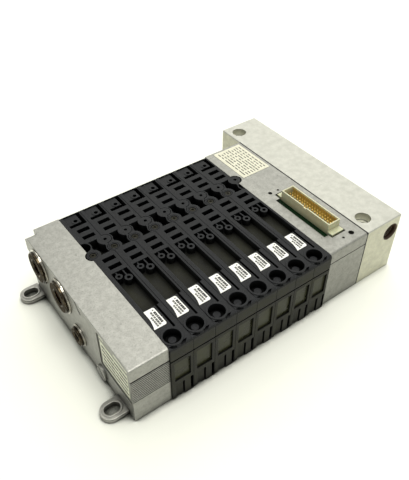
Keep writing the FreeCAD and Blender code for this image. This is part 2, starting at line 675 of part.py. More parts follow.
def connector_shell():
    x0, x1, y0, y1, z0, z1 = conn_box()
    inner0, inner1 = y0 + CONN_EAR_L, y1 - CONN_EAR_L
    body = box(x0, x1, inner0, inner1, z0, z1)
    ears = box(x0, x1, y0, y1, z0, z1 - CONN_EAR_DROP)
    wall = CONN_WALL
    room = box(x0 + wall, x1 - wall, inner0 + wall, inner1 - wall, z0 + CONN_FLOOR, z1 + EPS)
    middle, half = (y0 + y1) / 2, KEYWAY_W / 2
    key = box(x0 - EPS, x0 + wall + EPS, middle - half, middle + half, z1 - KEYWAY_H, z1 + EPS)
    return fused(body, [ears]).cut([room, key])


def connector_pins():
    x0, x1, y0, y1, z0 = conn_box()[:5]
    x, y = (x0 + x1) / 2, (y0 + y1) / 2
    base = z0 + CONN_FLOOR
    half = PIN_SIDE / 2
    pins = []
    for i in range(PIN_ROWS):
        for j in range(PIN_COLUMNS):
            px = x + (i - (PIN_ROWS - 1) / 2) * PIN_PITCH
            py = y + (j - (PIN_COLUMNS - 1) / 2) * PIN_PITCH
            pins.append(box(px - half, px + half, py - half, py + half, base, base + PIN_L))
    return pins


def end_block():
    body = box(BLOCK_X, RIGHT_X, 0, BLOCK_L, 0, HEIGHT)
    rim = [e for e in body.Edges if e.BoundBox.ZMin > HEIGHT / 2 or abs(e.BoundBox.ZLength) > HEIGHT / 2]
    body = body.makeChamfer(BLOCK_EDGE, rim)
    cuts = []
    for y in BOLT_YS:
        cuts.append(post(BLOCK_X + BOLT_X, y, -EPS, HEIGHT + EPS, BOLT_R))
        cuts.append(post(BLOCK_X + BOLT_X, y, HEIGHT - BOLT_HEAD_D, HEIGHT + EPS, BOLT_HEAD_R))
    wide = END_PORT_R + END_PORT_MOUTH
    port = [
        (-EPS, 0), (-EPS, wide + EPS), (0, wide), (END_PORT_MOUTH, END_PORT_R),
        (END_PORT_D, END_PORT_R), (END_PORT_D, 0),
    ]
    cuts.append(turned(port, V(BLOCK_X + END_PORT_X, 0, END_PORT_Z), V(0, 1, 0)))
    head_x = RIGHT_X - ROD_HEAD_SINK - ROD_HEAD_L
    for y in ROD_YS:
        cuts.append(bar_x(y, ROD_Z, BLOCK_X - EPS, RIGHT_X + EPS, ROD_R + ROD_GAP))
        cuts.append(bar_x(y, ROD_Z, head_x, RIGHT_X + EPS, ROD_HEAD_R + ROD_GAP))
    return body.cut(cuts)


def station_tag():
    """The sheet on a slice's tongue: rounded on its right, with a front left corner that flares out."""
    a, b = V(TAG_FLARE_X, TAG_Y0, HEIGHT), V(TAG_X0, TAG_FLARE_Y, HEIGHT)
    bend = V(TAG_X0 - (TAG_X0 - TAG_FLARE_X) * TAG_SWING, (TAG_Y0 + TAG_FLARE_Y) / 2, HEIGHT)
    ring = [b, V(TAG_X0, TAG_Y1, HEIGHT), V(TAG_X1, TAG_Y1, HEIGHT), V(TAG_X1, TAG_Y0, HEIGHT), a]
    edges = [Part.Arc(a, bend, b).toShape()] + [Part.makeLine(p, q) for p, q in zip(ring, ring[1:])]
    sheet = Part.Face(Part.Wire(edges)).extrude(V(0, 0, SHEET_T))
    right = [e for e in sheet.Edges if e.BoundBox.XMin > TAG_X1 - FIT and e.BoundBox.YLength < FIT]
    return sheet.makeFillet(TAG_R, right)


def main():
    export("left_end_plate", left_end_plate())
    for name, y in zip(("front_supply_port", "rear_supply_port"), SUPPLY_YS):
        radii = (SUPPLY_RING_R, SUPPLY_BODY_R, SUPPLY_BORE_R, SUPPLY_SHANK_R)
        export(name, port_sleeve(y, SUPPLY_Z, *radii))
    radii = (PILOT_RING_R, PILOT_BODY_R, PILOT_BORE_R, PILOT_SHANK_R)
    export("pilot_port", port_sleeve(PILOT_Y, PILOT_Z, *radii))
    export("front_foot", foot(FOOT_YS[0]))
    export("rear_foot", foot(FOOT_YS[1]))

    starts = [STACK_X + i * PITCH for i in range(STATIONS)]
    repeats = (
        ("valve_slice", valve_slice()), ("override_button", override_button()), ("valve_spool", spool()),
    )
    for name, shape in repeats:
        for i, x in enumerate(starts):
            export(name + "_" + str(i + 1), moved(shape, x))
    groups = (
        ("front_panels", front_panel()), ("pilot_solenoids", pilot_solenoid()),
        ("spool_bore_plugs", bore_plug()), ("station_tags", station_tag()),
    )
    for name, shape in groups:
        export(name, *[moved(shape, x) for x in starts])
    export("duct_gaskets", *[s for x in starts + [MODULE_X] for s in seals(x)])
    export("tie_rods", *[tie_rod(y) for y in ROD_YS])

    export("module_housing", module_housing())
    export("circuit_board", circuit_board())
    export("connector_shell", connector_shell())
    export("connector_pins", *connector_pins())
    export("end_block", end_block())
    x, y, width, length = MODULE_LABEL
    export("module_label", box(MODULE_X + x, MODULE_X + x + width, y, y + length, HEIGHT, HEIGHT + SHEET_T))
    side = box(FIELD_D - SHEET_T, FIELD_D, SIDE_LABEL_Y0, SIDE_LABEL_Y1, SIDE_LABEL_Z0, SIDE_LABEL_Z1)
    export("side_label", side)


main()
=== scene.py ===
import math

import bmesh
import bpy
from bpy.props import FloatProperty, FloatVectorProperty, IntProperty, PointerProperty
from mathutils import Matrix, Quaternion, Vector


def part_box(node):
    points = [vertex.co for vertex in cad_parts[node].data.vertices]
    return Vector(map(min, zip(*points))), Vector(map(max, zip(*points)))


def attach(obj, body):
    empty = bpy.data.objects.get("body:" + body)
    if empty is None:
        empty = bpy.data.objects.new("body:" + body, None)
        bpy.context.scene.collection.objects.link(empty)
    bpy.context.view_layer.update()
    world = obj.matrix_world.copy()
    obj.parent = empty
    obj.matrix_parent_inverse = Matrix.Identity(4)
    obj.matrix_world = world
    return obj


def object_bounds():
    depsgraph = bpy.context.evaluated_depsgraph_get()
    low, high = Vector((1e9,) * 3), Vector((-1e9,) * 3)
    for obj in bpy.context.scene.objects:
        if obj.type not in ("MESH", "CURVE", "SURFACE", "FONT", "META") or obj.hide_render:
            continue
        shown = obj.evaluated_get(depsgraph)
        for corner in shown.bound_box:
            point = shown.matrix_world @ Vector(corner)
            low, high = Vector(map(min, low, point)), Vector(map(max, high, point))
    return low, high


# A pneumatic valve island: finishes for its solids, and the screws, threads and print that they leave out.

bl_info = {
    "name": "Pneumatic Valve Island",
    "version": (1, 0, 0),
    "blender": (4, 5, 0),
    "location": "View3D > Sidebar > Valve Island",
    "description": "Finishes, screws, threads and label print for a pneumatic valve island",
    "category": "Object",
}

MM = 0.001
X_AXIS, Y_AXIS, Z_AXIS = Vector((1, 0, 0)), Vector((0, 1, 0)), Vector((0, 0, 1))

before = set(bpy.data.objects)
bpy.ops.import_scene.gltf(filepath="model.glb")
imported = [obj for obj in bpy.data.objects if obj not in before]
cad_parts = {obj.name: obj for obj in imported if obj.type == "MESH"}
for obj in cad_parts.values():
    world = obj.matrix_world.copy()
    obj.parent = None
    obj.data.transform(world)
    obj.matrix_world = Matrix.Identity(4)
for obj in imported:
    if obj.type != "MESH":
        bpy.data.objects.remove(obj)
CAD_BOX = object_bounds()


def middle(node):
    """The middle of a solid's box."""
    low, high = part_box(node)
    return (low + high) / 2


# Places that the model gives: the stations follow the buttons, and heights come from the plates
STATIONS = sum(name.startswith("valve_slice_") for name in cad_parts)
FIRST_BUTTON = middle("override_button_1")
PITCH = middle("override_button_2").x - FIRST_BUTTON.x
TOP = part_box("left_end_plate")[1].z
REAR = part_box("valve_slice_1")[1].y
TAG_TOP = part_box("station_tags")[1].z

# Places on a slice, from its button. Those of the rows of print on its tag are in millimetres.
SCREW_FROM_BUTTON = Vector((-4.5, 85.4, 0)) * MM
SCREW_SINK = 1.0 * MM
WORK_PORT_FROM_BUTTON = 1.4 * MM
WORK_PORT_HEIGHTS = (8.6 * MM, 28.4 * MM)
TAG_ROWS_FROM_BUTTON = ((1.5, 12.6), (-0.5, 11.8), (-2.3, 11.2), (1.5, 22.8))

# Boss screws: the head's chamfer, the recess's depth, its lobes, how far they stand out as a share of its
# radius, how much it narrows, and how many sides a turn has
SCREW_CHAMFER, RECESS_DEPTH = 0.25 * MM, 0.6 * MM
LOBES, LOBE_SHARE, RECESS_TAPER, SCREW_SIDES = 6, 0.2, 0.9, 36

# Contact blades: how many, their thickness, the share of their pitch that one fills, and their tone
CONTACTS = 17
BLADE_THICKNESS, BLADE_SHARE, BLADE_TONE = 0.3 * MM, 0.84, 0.8

# Ports: radii of the bores, and how deep each thread starts and how many turns it has
SUPPLY_BORE, PILOT_BORE, END_BORE, WORK_BORE = 5.8 * MM, 3.9 * MM, 5.9 * MM, 4.2 * MM
COLLAR_THREAD_SINK, COLLAR_TURNS = 1.2 * MM, 10.0
END_THREAD_SINK, END_TURNS = 13.0 * MM, 11.0
WORK_THREAD_SINK, WORK_TURNS = 1.0 * MM, 7.0

# How far a port's collar stands out past its plated ring, where the end port is on the block's front, and how
# wide and deep the brown round its mouth reaches
COLLAR_OUT = 2.1 * MM
END_PORT_FROM_CORNER = Vector((26.5, 0, 37.5)) * MM
END_PORT_RING = 7.15 * MM
END_PORT_BROWN_DEPTH = 20.0 * MM

# Print on a tag: each row's ink, its number of marks, and their step, width, shortest and longest in mm
TAG_PRINT = (
    ("tag_print_bold", "bold", 6, 1.6, 1.6, 0.9, 1.6),
    ("tag_print_fine", "faint", 6, 1.9, 1.3, 1.1, 1.8),
    ("tag_print_foot", "faint", 5, 1.7, 1.2, 1.0, 1.6),
    ("tag_print_end", "bold", 1, 1.0, 1.0, 0.6, 0.9),
)

# Where print stands in from its label's corner, and each strip's start and reach beside the side label, in
# millimetres, with its height over the label and its width
MODULE_PRINT_IN = Vector((3.2, 3.6, 0)) * MM
SIDE_PRINT_IN = Vector((0, 3.0, 3.0)) * MM
SIDE_STRIPS = (("front_strip", 7.6, 15.4), ("rear_strip", 29.4, 5.0))
STRIP_RISE, STRIP_WIDTH = 3.0 * MM, 1.5 * MM

# The camera stands where the photograph was taken from
EYE = Vector((-180.6, -251.5, 314.7)) * MM
AIM = Vector((23.76, 24.03, 0.0)) * MM
ROLL = math.radians(0.144)
LENS = 43.7
SENSOR = 36.0
NEAR_CLIP = 0.01

# The lamps: where each hangs, its diameter and its power. The floor reaches past all that the camera sees.
LAMPS = (
    ("right_softbox", Vector((0.95, 1.05, 1.4)), 1.8, 13.0),
    ("overhead_softbox", Vector((0.1, -0.2, 2.2)), 1.3, 30.0),
)
FLOOR_REACH = 6.0


def linear(code):
    """An sRGB hex colour as linear red, green, blue and alpha."""
    parts = [int(code[i:i + 2], 16) / 255 for i in (1, 3, 5)]
    return tuple(c / 12.92 if c <= 0.04045 else ((c + 0.055) / 1.055) ** 2.4 for c in parts) + (1.0,)


def colour(label, about, code):
    return FloatVectorProperty(
        name=label, description=about, subtype="COLOR", size=4, min=0.0, max=1.0, default=linear(code)
    )


def length(label, about, millimetres):
    return FloatProperty(name=label, description=about, unit="LENGTH", min=0.0, default=millimetres * MM)


class IslandColours(bpy.types.PropertyGroup):
    """Colours of the finishes."""

    cast: colour("Cast aluminium", "Left end plate", "#9E9E99")
    # Painted shade: the module is the end plate's cast aluminium, toned darker for the stronger light on its
    # top
    module: colour("Module casting", "Connection module", "#90908B")
    machined: colour("Machined aluminium", "End block", "#BCBCB5")
    # Painted light: the end block's sides get their own yellower tone, as the pale floor lights them
    painted_flank_tone: colour("Flank aluminium", "Sides of the end block", "#C6C5B4")
    foot: colour("Foot casting", "The two mounting feet", "#ACABA6")
    # The rings are plated; this colour on the ports' rims is a painted highlight
    nickel: colour("Nickel ring", "Rings and rims of the air ports", "#DDD9CF")
    brass: colour("Worn brass", "Collars of the air ports", "#4B4233")
    nylon: colour("Slice nylon", "Moulded valve slices", "#1B1C1E")
    panel: colour("Front panel", "Smooth panels in the front windows", "#292A1A")
    button: colour("Button", "Manual override buttons", "#17181B")
    board: colour("Solder lacquer", "Circuit board", "#041A08")
    shell: colour("Connector shell", "Plug connector", "#C9C7A6")
    gold: colour("Contact gold", "Connector pins", "#F6D478")
    tag: colour("Tag", "White tags on the slices", "#EFEFEA")
    label: colour("Label", "Label on the module", "#D6D4C0")
    side_label: colour("Side label", "Label in the end plate's field", "#E6E8D2")
    ink: colour("Print", "Bold print on the labels", "#262626")
    faint_ink: colour("Faint print", "Fine print on the labels", "#4C4C4A")
    steel: colour("Screw steel", "Tie rods", "#6E6E66")
    screw: colour("Blackened screw", "Boss screws", "#2B2A24")


class IslandSizes(bpy.types.PropertyGroup):
    """Sizes of the small pieces."""

    screw_radius: length("Screw radius", "Head of a boss screw", 2.25)
    screw_height: length("Screw height", "Head above its seat", 0.75)
    recess_radius: length("Recess radius", "Middle of the screw's lobed recess", 0.95)
    thread_pitch: length("Thread pitch", "Pitch of the port threads", 1.0)
    thread_depth: length("Thread depth", "How far the threads stand in from the bore", 0.35)
    thread_steps: IntProperty(name="Thread steps", description="Sides in a turn", min=8, default=28)
    print_height: length("Print height", "Print above its label", 0.02)
    shell_wall: length("Shell wall", "Wall of the connector's shell", 0.9)
    blade_sink: length("Blade sink", "How far the contact blades end under the shell's rim", 1.0)
    # Sizes of the dark strip that paints the shadow along the joint between the module and the end block
    shadow_strip_width: length("Seal width", "Width of the sealant over the joint's groove", 0.9)
    shadow_strip_height: length("Seal height", "Height of the sealant over the faces", 0.03)
    seed: IntProperty(name="Print seed", description="Seed of the marks' lengths", default=7)


# Building helpers

def add_node(tree, kind, settings=None, inputs=None):
    """Adds a node. Inputs hold values, or other nodes' outputs to link from."""
    node = tree.nodes.new(kind)
    for name, value in (settings or {}).items():
        setattr(node, name, value)
    for name, value in (inputs or {}).items():
        if isinstance(value, bpy.types.NodeSocket):
            tree.links.new(value, node.inputs[name])
        else:
            node.inputs[name].default_value = value
    return node


def start_material(name):
    """An empty material, its tree and its Object coordinates."""
    material = bpy.data.materials.new(name)
    material.use_nodes = True
    tree = material.node_tree
    tree.nodes.clear()
    return material, tree, add_node(tree, "ShaderNodeTexCoord").outputs["Object"]


def clouds(tree, place, size_mm, detail=2.0, stretch=(1, 1, 1)):
    """Soft noise from 0 to 1, with features of a size in millimetres."""
    spread = add_node(tree, "ShaderNodeMapping", inputs={"Vector": place, "Scale": stretch}).outputs[0]
    settings = {"Vector": spread, "Scale": 1 / (size_mm * MM), "Detail": detail}
    return add_node(tree, "ShaderNodeTexNoise", inputs=settings).outputs[0]


def level(tree, factor, low, high, start=0.0, end=1.0):
    """A number from low to high, as a factor goes from start to end."""
    ends = {"Value": factor, "From Min": start, "From Max": end, "To Min": low, "To Max": high}
    return add_node(tree, "ShaderNodeMapRange", inputs=ends).outputs[0]


def shade(tree, factor, low, high, start=0.0, end=1.0):
    """A colour from low to high, as a factor goes from start to end."""
    part = level(tree, factor, 0.0, 1.0, start, end)
    return add_node(tree, "ShaderNodeMix", {"data_type": "RGBA"}, {0: part, 6: low, 7: high}).outputs[2]


def soft_edges(tree, radius_mm):
    """The normal with rounded edges, and a mask that is 1 along them."""
    rounded = add_node(tree, "ShaderNodeBevel", {"samples": 6}, {"Radius": radius_mm * MM}).outputs[0]
    face = add_node(tree, "ShaderNodeNewGeometry").outputs["True Normal"]
    pair = {0: rounded, 1: face}
    likeness = add_node(tree, "ShaderNodeVectorMath", {"operation": "DOT_PRODUCT"}, pair).outputs["Value"]
    return rounded, level(tree, likeness, 1.0, 0.0, 0.74, 0.97)


def end_port_start():
    """The middle of the end port's mouth, on the block's front."""
    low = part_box("end_block")[0]
    return Vector((low.x, low.y, 0)) + END_PORT_FROM_CORNER


def openness(tree, reach_mm, dark=0.3, clear=0.8):
    """A mask that is 1 on open faces and 0 deep in corners, slots and holes."""
    inputs = {"Distance": reach_mm * MM}
    seen = add_node(tree, "ShaderNodeAmbientOcclusion", {"samples": 8}, inputs).outputs["AO"]
    return level(tree, seen, 0.0, 1.0, dark, clear)


def darker(tone, share):
    return tuple(c * share for c in tone[:3]) + (1.0,)


def end_material(tree, tone, rough, metal=0.0, height=None, depth_mm=0.0, normal=None, **more):
    """Ends a material with its bump and its shader."""
    if height is not None:
        bump = {"Height": height, "Distance": depth_mm * MM}
        if normal is not None:
            bump["Normal"] = normal
        normal = add_node(tree, "ShaderNodeBump", inputs=bump).outputs[0]
    inputs = {"Base Color": tone, "Roughness": rough, "Metallic": metal, **more}
    if normal is not None:
        inputs["Normal"] = normal
    shader = add_node(tree, "ShaderNodeBsdfPrincipled", inputs=inputs).outputs[0]
    add_node(tree, "ShaderNodeOutputMaterial", inputs={"Surface": shader})


# Materials

def cast_aluminium(name, tone):
    """Die-cast aluminium, shot-blasted: pale satin grey, clouded and pitted, with painted shade in its
    grooves and a painted highlight along its edges.
    """
    material, tree, place = start_material(name)
    normal, edge = soft_edges(tree, 0.45)
    patches = clouds(tree, place, 3.4, 6.0)
    grain = clouds(tree, place, 0.9, 4.0)
    pits = clouds(tree, place, 2.4, 5.0)
    base = shade(tree, patches, darker(tone, 0.93), darker(tone, 1.06), 0.34, 0.66)
    base = shade(tree, grain, darker(tone, 0.74), base, 0.2, 0.52)
    base = shade(tree, pits, darker(tone, 0.55), base, 0.24, 0.33)
    # Painted highlight: paler along the edges
    base = shade(tree, edge, base, darker(tone, 1.3))
    # Painted shade: near black deep in grooves, corners and slots
    base = shade(tree, openness(tree, 2.2), darker(tone, 0.12), base)
    rough = level(tree, patches, 0.5, 0.4, 0.3, 0.7)
    end_material(tree, base, rough, 1.0, grain, 0.05, normal)
    return material


def machined_aluminium(tone, painted_flank_tone):
    """Bar aluminium, tumbled: scratches and brown at the port's mouth; painted light gives yellower flanks,
    paler deep holes and pale edges, and painted shade dark grooves.
    """
    material, tree, place = start_material("machined_aluminium")
    normal, edge = soft_edges(tree, 0.8)
    lines = clouds(tree, place, 0.8, 2.0, (1.0, 0.03, 1.0))
    stains = clouds(tree, place, 5.0, 6.0)
    tumbled = clouds(tree, place, 1.2, 4.0)
    scratches = clouds(tree, place, 3.2, 2.0, (0.12, 1.0, 0.6))
    base = shade(tree, stains, darker(tone, 0.96), darker(tone, 1.03), 0.36, 0.6)
    # Painted light: below the top edge the flanks take their own yellower tone, lit by the pale floor
    z = add_node(tree, "ShaderNodeSeparateXYZ", inputs={"Vector": place}).outputs["Z"]
    warm = shade(tree, stains, darker(painted_flank_tone, 0.94), darker(painted_flank_tone, 1.04), 0.36, 0.6)
    base = shade(tree, z, warm, base, TOP - 1.2 * MM, TOP - 0.6 * MM)
    base = shade(tree, tumbled, darker(tone, 0.93), base, 0.25, 0.5)
    base = shade(tree, scratches, darker(tone, 0.86), base, 0.22, 0.3)
    # Painted light: paler where the block is deeply enclosed, in its holes and bores
    base = shade(tree, openness(tree, 14.0, 0.15, 0.42), darker(tone, 1.7), base)
    # Painted highlight: paler along the edges
    base = shade(tree, edge, base, darker(tone, 1.55))
    # Painted shade: near black in narrow grooves and joints
    base = shade(tree, openness(tree, 1.1, 0.45, 0.85), darker(tone, 0.05), base)
    start = end_port_start()
    pair = {0: place, 1: (1, 0, 1)}
    flat = add_node(tree, "ShaderNodeVectorMath", {"operation": "MULTIPLY"}, pair).outputs[0]
    pair = {0: flat, 1: (start.x, 0, start.z)}
    away = add_node(tree, "ShaderNodeVectorMath", {"operation": "DISTANCE"}, pair).outputs["Value"]
    y = add_node(tree, "ShaderNodeSeparateXYZ", inputs={"Vector": place}).outputs["Y"]
    deep = level(tree, y, 0.0, END_PORT_RING, start.y, start.y + END_PORT_BROWN_DEPTH)
    far = add_node(tree, "ShaderNodeMath", {"operation": "ADD"}, {0: away, 1: deep}).outputs[0]
    base = shade(tree, far, linear("#4C4038"), base, 0.96 * END_PORT_RING, END_PORT_RING)
    rough = level(tree, stains, 0.66, 0.56, 0.3, 0.7)
    end_material(tree, base, rough, 1.0, lines, 0.012, normal)
    return material


def foot_casting(tone):
    """Zinc alloy, cast and left raw: cooler, with an uneven skin, rims paled by a painted highlight and
    hollows darkened by painted shade.
    """
    material, tree, place = start_material("raw_zinc_casting")
    normal, edge = soft_edges(tree, 0.7)
    skin = clouds(tree, place, 1.8, 4.0)
    patches = clouds(tree, place, 6.0, 2.0)
    base = shade(tree, patches, darker(tone, 0.7), darker(tone, 1.1), 0.34, 0.66)
    # Painted highlight: much paler along the rims and edges
    base = shade(tree, edge, base, darker(tone, 2.0))
    # Painted shade: near black in the slots and hollows
    base = shade(tree, openness(tree, 4.0, 0.35, 0.85), darker(tone, 0.06), base)
    rough = level(tree, skin, 0.5, 0.34, 0.3, 0.7)
    end_material(tree, base, rough, 1.0, skin, 0.12, normal)
    return material


def browned_brass(body, rim):
    """Turned brass, browned: a dull face, a polished side and a plated ring; its rims take the ring's colour
    as a painted highlight, and its hollows painted shade.
    """
    material, tree, place = start_material("browned_brass")
    normal, edge = soft_edges(tree, 0.3)
    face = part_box("front_supply_port")[0].x
    x = add_node(tree, "ShaderNodeSeparateXYZ", inputs={"Vector": place}).outputs["X"]
    side = level(tree, x, 0.0, 1.0, face + 0.02 * MM, face + 0.12 * MM)
    tarnish = clouds(tree, place, 3.0, 3.0, (0.2, 1.0, 1.0))
    turning = clouds(tree, place, 0.9, 1.0, (1.0, 0.3, 0.3))
    base = shade(tree, tarnish, darker(body, 0.5), body, 0.3, 0.7)
    base = shade(tree, turning, darker(body, 0.4), base, 0.35, 0.55)
    # Painted highlight: the edges take the bright ring's colour
    base = shade(tree, edge, base, rim)
    ring = face + COLLAR_OUT
    base = shade(tree, x, base, rim, ring - 0.05 * MM, ring + 0.05 * MM)
    # Painted shade: dark in the bores and hollows
    base = shade(tree, openness(tree, 3.0), darker(body, 0.2), base)
    rough = level(tree, side, 0.8, 0.17)
    end_material(tree, base, rough, side, turning, 0.03, normal, **{"Specular IOR Level": 0.1})
    return material


def slice_nylon(tone):
    """Glass-filled nylon, black: satin, with fibre grain; below the top an olive tint, painted light from the
    pale floor; painted highlights on its edges and painted shade in its recesses.
    """
    material, tree, place = start_material("glass_filled_nylon")
    normal, edge = soft_edges(tree, 0.3)
    grain = clouds(tree, place, 0.7, 4.0)
    flow = clouds(tree, place, 9.0, 3.0, (1.0, 0.4, 1.0))
    base = shade(tree, flow, darker(tone, 0.7), darker(tone, 1.5), 0.3, 0.7)
    # Painted light: below the top the nylon takes an olive tint, as the pale floor lights its fronts and bays
    painted_floor_tint = shade(tree, flow, linear("#15150F"), linear("#2E2E22"), 0.3, 0.7)
    z = add_node(tree, "ShaderNodeSeparateXYZ", inputs={"Vector": place}).outputs["Z"]
    base = shade(tree, z, painted_floor_tint, base, TOP - 5.0 * MM, TOP - 0.8 * MM)
    base = shade(tree, grain, base, darker(tone, 2.2), 0.5, 0.75)
    # Painted highlight: paler along the edges
    base = shade(tree, edge, base, darker(tone, 5.0))
    # Painted shade: darker in recesses and bays
    clear = openness(tree, 9.0, 0.3, 0.9)
    base = shade(tree, clear, darker(tone, 0.2), base)
    rough = level(tree, flow, 0.46, 0.6, 0.3, 0.7)
    gloss = level(tree, clear, 0.03, 0.16)
    end_material(tree, base, rough, 0.0, grain, 0.05, normal, **{"Specular IOR Level": gloss})
    return material


def panel_plastic(tone):
    """Smooth moulded panel: olive black and glossier than the slice round it."""
    material, tree, place = start_material("smooth_polycarbonate")
    haze = clouds(tree, place, 7.0, 3.0)
    base = shade(tree, haze, darker(tone, 0.8), darker(tone, 1.45), 0.35, 0.65)
    rough = level(tree, haze, 0.22, 0.4, 0.3, 0.7)
    end_material(tree, base, rough, 0.0, haze, 0.1, **{"Specular IOR Level": 0.19})
    return material


def button_acetal(tone):
    """Acetal rod, turned: dark grey, slightly waxy, with a worn top."""
    material, tree, place = start_material("turned_acetal")
    normal, edge = soft_edges(tree, 0.3)
    wear = clouds(tree, place, 1.2, 3.0)
    base = shade(tree, wear, tone, darker(tone, 2.2), 0.4, 0.75)
    # Painted highlight: paler along the edges
    base = shade(tree, edge, base, darker(tone, 3.0))
    end_material(tree, base, 0.45, 0.0, wear, 0.04, normal, **{"Specular IOR Level": 0.15})
    return material


def solder_lacquer(tone):
    """Glass-fibre board under green lacquer: glossy, with the lighter lines of the tracks below it."""
    material, tree, place = start_material("green_solder_lacquer")
    stretch = {"Vector": place, "Scale": (1.0, 0.15, 1.0)}
    spread = add_node(tree, "ShaderNodeMapping", inputs=stretch).outputs[0]
    cells = {"Vector": spread, "Scale": 1 / (2.2 * MM)}
    tracks = add_node(
        tree, "ShaderNodeTexVoronoi", {"feature": "DISTANCE_TO_EDGE"}, cells
    ).outputs["Distance"]
    base = shade(tree, tracks, darker(tone, 1.7), tone, 0.06, 0.12)
    end_material(tree, base, 0.45, 0.0, tracks, 0.03, **{"Specular IOR Level": 0.12})
    return material


def shell_polyester(tone):
    """Glass-filled polyester shell: warm cream and a little uneven, with painted shade in its hollows and a
    painted highlight along its rims.
    """
    material, tree, place = start_material("cream_polyester")
    normal, edge = soft_edges(tree, 0.3)
    flow = clouds(tree, place, 4.0, 3.0)
    base = shade(tree, flow, darker(tone, 0.82), tone, 0.3, 0.7)
    # Painted shade: darker in the hollows, inside the shell and at the foot of its walls
    base = shade(tree, openness(tree, 7.0), darker(tone, 0.62), base)
    # Painted highlight: pale cream along the rims
    base = shade(tree, edge, base, linear("#F1EED2"))
    grain = clouds(tree, place, 0.5, 2.0)
    end_material(tree, base, 0.42, 0.0, grain, 0.02, normal, **{"Subsurface Weight": 0.08})
    return material


def contact_gold(tone):
    """Gold over nickel on drawn pins: bright, with a slightly duller tip."""
    material, tree, place = start_material("gold_flashed_contact")
    worn = clouds(tree, place, 0.9, 2.0, (1.0, 1.0, 0.3))
    base = shade(tree, worn, darker(tone, 0.75), tone, 0.3, 0.6)
    rough = level(tree, worn, 0.5, 0.3, 0.3, 0.7)
    end_material(tree, base, rough, 0.7)
    return material


def label_vinyl(name, tone, stain_share):
    """Printed vinyl: smooth and matt, with a faint yellowing."""
    material, tree, place = start_material(name)
    stain = clouds(tree, place, 5.0, 3.0)
    base = shade(tree, stain, darker(tone, stain_share), tone, 0.35, 0.6)
    rough = level(tree, stain, 0.55, 0.42, 0.3, 0.7)
    end_material(tree, base, rough)
    return material


def label_ink(name, tone):
    """Thermal print: soft black or grey that lets some of the label through."""
    material, tree, place = start_material(name)
    fade = clouds(tree, place, 0.6, 2.0)
    base = shade(tree, fade, tone, darker(tone, 2.2), 0.4, 0.8)
    end_material(tree, base, 0.6)
    return material


def screw_steel(name, tone):
    """Plated steel: turned, with a darker film in patches."""
    material, tree, place = start_material(name)
    film = clouds(tree, place, 1.1, 3.0)
    base = shade(tree, film, darker(tone, 0.6), tone, 0.35, 0.6)
    rough = level(tree, film, 0.45, 0.28, 0.3, 0.7)
    end_material(tree, base, rough, 1.0, film, 0.02)
    return material


def nitrile_rubber(name):
    """Moulded nitrile: dull black, fine and slightly powdery."""
    material, tree, place = start_material(name)
    bloom = clouds(tree, place, 2.0, 3.0)
    tone = linear("#171717")
    base = shade(tree, bloom, tone, darker(tone, 2.0), 0.4, 0.8)
    end_material(tree, base, 0.75, 0.0, bloom, 0.03)
    return material


def coil_resin():
    """Coil under moulded resin: dark, with the faint ridges of the windings."""
    material, tree, place = start_material("resin_over_windings")
    rings = add_node(
        tree, "ShaderNodeTexWave", {"bands_direction": "Y"}, {"Vector": place, "Scale": 1 / (6.0 * MM)}
    ).outputs["Fac"]
    base = shade(tree, rings, linear("#1F1B18"), linear("#4A2E1C"), 0.3, 0.9)
    end_material(tree, base, 0.45, 0.0, rings, 0.08)
    return material


def ground_spool():
    """Anodised aluminium, ground: smooth and grey, with fine rings round it."""
    material, tree, place = start_material("ground_anodised_aluminium")
    rings = clouds(tree, place, 0.4, 1.0, (0.05, 1.0, 0.05))
    tone = linear("#8F9296")
    base = shade(tree, rings, darker(tone, 0.85), tone, 0.3, 0.7)
    end_material(tree, base, 0.28, 1.0, rings, 0.004)
    return material


def thread_bronze():
    """Thread with old sealant: brown metal, dull in the grooves."""
    material, tree, place = start_material("sealed_bronze_thread")
    film = clouds(tree, place, 1.5, 3.0)
    tone = linear("#6B4E36")
    base = shade(tree, film, darker(tone, 0.4), tone, 0.35, 0.65)
    rough = level(tree, film, 0.5, 0.3, 0.3, 0.7)
    end_material(tree, base, rough, 1.0, film, 0.03)
    return material


def dress(material, *starts):
    """Gives a finish to every solid whose name starts with one of the words."""
    found = [node for name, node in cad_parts.items() if name.startswith(starts)]
    if not found:
        raise RuntimeError("no solid is named " + ", ".join(starts))
    for node in found:
        node.data.materials.clear()
        node.data.materials.append(material)


# Geometry Nodes

def start_tree(name, sizes):
    """A Geometry Nodes tree with a named input for each size, and the sockets that they come from."""
    tree = bpy.data.node_groups.new(name, "GeometryNodeTree")
    for label, kind in sizes.items():
        tree.interface.new_socket(label, in_out="INPUT", socket_type="NodeSocket" + kind)
    tree.interface.new_socket("Geometry", in_out="OUTPUT", socket_type="NodeSocketGeometry")
    return tree, tree.nodes.new("NodeGroupInput").outputs


def line_of_points(tree, count, offset, start=(0, 0, 0)):
    return add_node(
        tree, "GeometryNodeMeshLine", inputs={"Count": count, "Offset": offset, "Start Location": start}
    ).outputs[0]


def copies(tree, points, shape, **more):
    inputs = {"Points": points, "Instance": shape, **more}
    return add_node(tree, "GeometryNodeInstanceOnPoints", inputs=inputs).outputs[0]


def real(tree, geometry):
    return add_node(tree, "GeometryNodeRealizeInstances", inputs={"Geometry": geometry}).outputs[0]


def placed(tree, geometry, turn, place):
    inputs = {"Geometry": geometry, "Rotation": turn, "Translation": place}
    return add_node(tree, "GeometryNodeTransform", inputs=inputs).outputs[0]


def end_tree(tree, geometry, finish):
    """Makes the copies real, gives them their finish and ends the tree."""
    inputs = {"Geometry": real(tree, geometry), "Material": finish}
    done = add_node(tree, "GeometryNodeSetMaterial", inputs=inputs).outputs[0]
    add_node(tree, "NodeGroupOutput", inputs={"Geometry": done})


